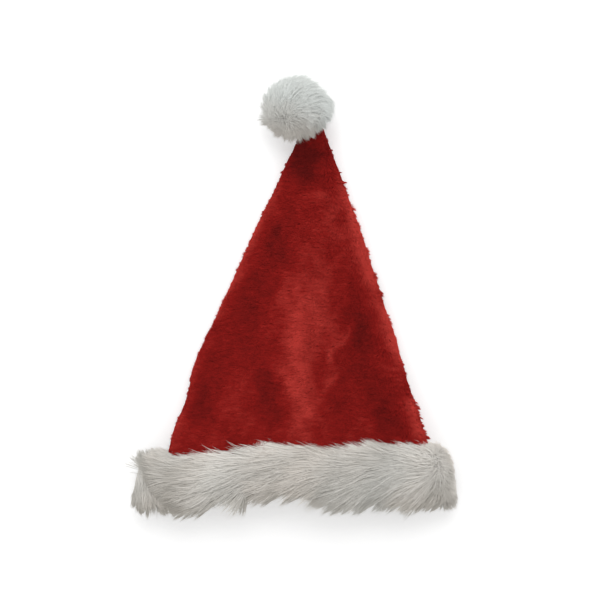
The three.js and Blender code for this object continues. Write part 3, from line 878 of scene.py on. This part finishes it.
def seam_distance(points):
    """How far each point lies inside the nearer side seam, seen from above."""
    heights, lefts, rights = seams
    left = np.interp(points[:, 1], heights, lefts)
    right = np.interp(points[:, 1], heights, rights)
    return np.minimum(points[:, 0] - left, right - points[:, 0])


def on_right(points):
    """Which points lie to the right of the crown's leaning middle line."""
    return points[:, 0] > points[:, 1] * middle_lean + middle_offset


def open_faces(piece, others):
    """A panel's points and their normals, and the corners of its triangles that don't face the other
    panel or the panel's own wall."""
    mesh = piece.data
    mesh.calc_loop_triangles()
    count = len(mesh.loop_triangles)
    corner = np.zeros(count * 3, np.int32)
    mesh.loop_triangles.foreach_get("vertices", corner)
    place = points_of(piece)
    normal = np.zeros(len(mesh.vertices) * 3)
    mesh.vertices.foreach_get("normal", normal)
    normal, corner = normal.reshape(-1, 3), corner.reshape(-1, 3)
    depsgraph = bpy.context.evaluated_depsgraph_get()
    trees = [BVHTree.FromObject(other, depsgraph) for other in others]
    keep = []
    for k, triangle in enumerate(corner):
        middle = Vector(place[triangle].mean(0))
        way = Vector(normal[triangle].mean(0)).normalized()
        start = middle + way * 0.2 * mm
        if all(tree.ray_cast(start, way, 0.3)[0] is None for tree in trees):
            keep.append(k)
    return place, normal, corner[keep]


def nap_tone_and_painted_light(points, edge):
    """How bright the crown's nap lies at each point with its painted sheen and shade, from about -0.5 to
    0.5.
    """
    fibres = points * np.array((0.28, 1.5, 0.5))
    tone = 0.05 * wander(points, 40 * mm, 31) + 0.03 * wander(points, 15 * mm, 32)
    tone += 0.045 * wander(fibres, 3.2 * mm, 33) + 0.04 * wander(fibres, 7 * mm, 34)
    patchy = 0.97 + 0.13 * wander(points, 17 * mm, 36) + 0.12 * wander(fibres, 6 * mm, 37)
    shift = np.stack([wander(points, 30 * mm, 38), wander(points, 26 * mm, 39)], axis=-1) * 3
    for mark in nap_sheen_and_shade_marks:
        turn = math.radians(mark["turn"])
        dx = points[:, 0] / mm - mark["x"] + shift[:, 0]
        dy = points[:, 1] / mm - mark["y"] + shift[:, 1]
        across = (dx * math.cos(turn) + dy * math.sin(turn)) / mark["wide"]
        along = (dy * math.cos(turn) - dx * math.sin(turn)) / mark["long"]
        tone += mark["tone"] * patchy * np.exp(-across * across - along * along)
    # Painted sheen in a strip along the side seams, stronger on the right, where the pile rolls over the
    # edge
    side = np.exp(-(((edge - 5 * mm) / (7 * mm)) ** 2))
    seam_sheen = np.where(on_right(points), 0.62, 0.3)
    uneven = 0.75 + 0.5 * wander(points, 42 * mm, 35)
    lower = np.interp(points[:, 1], (-0.13, -0.05, 0.09, 0.13), (0.6, 1, 0.8, 0.2))
    return tone + seam_sheen * side * np.clip(uneven, 0, 1.3) * lower


def crown_pile(name, piece, others, count, seed):
    """The short pile of one panel, as blades that lie along the nap and gather in small tufts."""
    chance = np.random.default_rng(seed)
    place, normal, corner = open_faces(piece, others)
    edge = np.cross(place[corner[:, 1]] - place[corner[:, 0]], place[corner[:, 2]] - place[corner[:, 0]])
    area = np.linalg.norm(edge, axis=-1)
    pick = chance.choice(len(corner), count, p=area / area.sum())
    weight = chance.dirichlet((1, 1, 1), count)
    roots = np.einsum("nk,nkd->nd", weight, place[corner[pick]])
    normals = unit(np.einsum("nk,nkd->nd", weight, normal[corner[pick]]))
    inside = seam_distance(roots)
    rim = np.exp(-((np.maximum(inside, 0) / (6 * mm)) ** 2))
    right = np.clip(1 - inside / nap_turn_width, 0, 1) * on_right(roots)
    way = math.radians(nap_way) + math.radians(nap_turn) * ease(right)
    way = way + 0.22 * wander(roots, 26 * mm, seed + 1) + 0.1 * wander(roots, 9 * mm, seed + 2)
    way = way + chance.normal(0, 0.25, count)
    combs = flattened(np.stack([np.cos(way), np.sin(way), np.zeros(count)], axis=-1), normals)
    guides = chance.choice(count, count // 16, replace=False)
    leader = guides[nearest(roots, roots[guides])]
    lock_chance = chance.uniform(-1, 1, count)[leader]
    tone = nap_tone_and_painted_light(roots, inside)
    stand = np.clip(0.62 + 0.13 * lock_chance + chance.normal(0, 0.1, count), 0.2, 1.2)
    spikes = np.clip(lock_chance * 1.6 - 0.4, 0, 1)
    spikes = spikes * np.clip(0.6 + 0.5 * wander(roots, 22 * mm, seed + 3), 0, 1)
    lengths = pile_blade * chance.uniform(0.7, 1.05, count) * (1 + 0.15 * lock_chance)
    lengths = lengths * (1 - 0.9 * rim * (1 - np.where(right > 0, 0.9, 0.55) * spikes))
    way = unit(combs + normals * stand[:, None])
    tips = roots + way * lengths[:, None]
    tips += (tips[leader] + (roots - roots[leader]) * 0.45 - tips) * (0.2 + 0.4 * rim)[:, None]
    path = np.stack([roots - normals * 0.3 * mm, tips], axis=1)
    path[..., 2] = np.maximum(path[..., 2], floor_clearance)
    sides, facing = ribbon_frame(path, normals, chance.normal(0, 0.4, count), 0.82)
    widths = (blade_width * chance.uniform(0.7, 1.2, count))[:, None]
    shade = np.clip(0.5 + tone + 0.035 * lock_chance + chance.normal(0, 0.035, count), 0, 1)
    tuft = np.stack([shade, chance.uniform(0, 1, count)], axis=-1)
    return ribbons(name, path, sides, widths, facing, tuft, plush_pile)


def stage():
    """The floor, the lights and the camera over the hat."""
    bpy.ops.object.select_all(action="DESELECT")
    bpy.ops.mesh.primitive_plane_add(size=floor_size, location=(0, 0, 0))
    floor = bpy.context.object
    floor.name = "floor"
    floor.data.materials.append(floor_material())
    for lamp in lamps:
        light = bpy.data.lights.new(lamp["name"], "AREA")
        light.size = lamp["size"]
        light.energy = lamp["power"]
        holder = bpy.data.objects.new(lamp["name"], light)
        holder.location = lamp["place"]
        holder.rotation_euler = (-Vector(lamp["place"])).to_track_quat("-Z", "Y").to_euler()
        bpy.context.scene.collection.objects.link(holder)
    world = bpy.data.worlds.new("studio")
    world.use_nodes = True
    world.node_tree.nodes["Background"].inputs["Color"].default_value = (1, 1, 1, 1)
    world.node_tree.nodes["Background"].inputs["Strength"].default_value = sky_strength
    bpy.context.scene.world = world
    bpy.context.scene.view_settings.view_transform = "Standard"
    camera = bpy.data.cameras.new("camera")
    camera.lens = camera_lens
    camera.sensor_width = camera_sensor
    eye = bpy.data.objects.new("camera", camera)
    eye.location = (picture_middle.x, picture_middle.y, camera_height)
    bpy.context.scene.collection.objects.link(eye)
    bpy.context.scene.camera = eye


def counted(number):
    return number


plush_pile = plush_pile_material()
plush_backing = plush_backing_material()
white_fur = white_fur_material()
fur_skin = fur_skin_material()

stage()
seams = seam_lines()
front = crown_cloth("crown_front", "crown_front_cloth")
back = crown_cloth("crown_back", "crown_back_cloth")
front_pile = crown_pile("crown_front_pile", front, (front, back), counted(front_blades), 41)
back_pile = crown_pile("crown_back_pile", back, (front, back), counted(back_blades), 51)
skin = band_skin()
band_pieces = [
    band_fur("band_underfur", counted(under_strands), under_strand, under_width, 61,
             steps=3, tone=0.45),
    band_fur("band_overfur", counted(over_strands), over_strand, over_width, 71,
             tone=0.58, fluff=0.04),
    band_fur("band_back_fur", counted(back_strands), back_strand, under_width, 81,
             side="back", steps=3),
    band_fur("band_mouth_fur", counted(mouth_strands), mouth_strand, under_width, 101,
             side="mouth", steps=3, tone=0.6),
]
head = pompom_head()
ball_fur = pompom_fur(counted(pompom_strands), 91)

for piece, slot in (
    [(p, "red_plush") for p in (front, back, front_pile, back_pile)]
    + [(p, "white_fur") for p in (skin, head, ball_fur, *band_pieces)]
):
    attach(piece, "root")
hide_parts("crown_front")
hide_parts("crown_back")
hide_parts("fur_trim")
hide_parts("pompom")
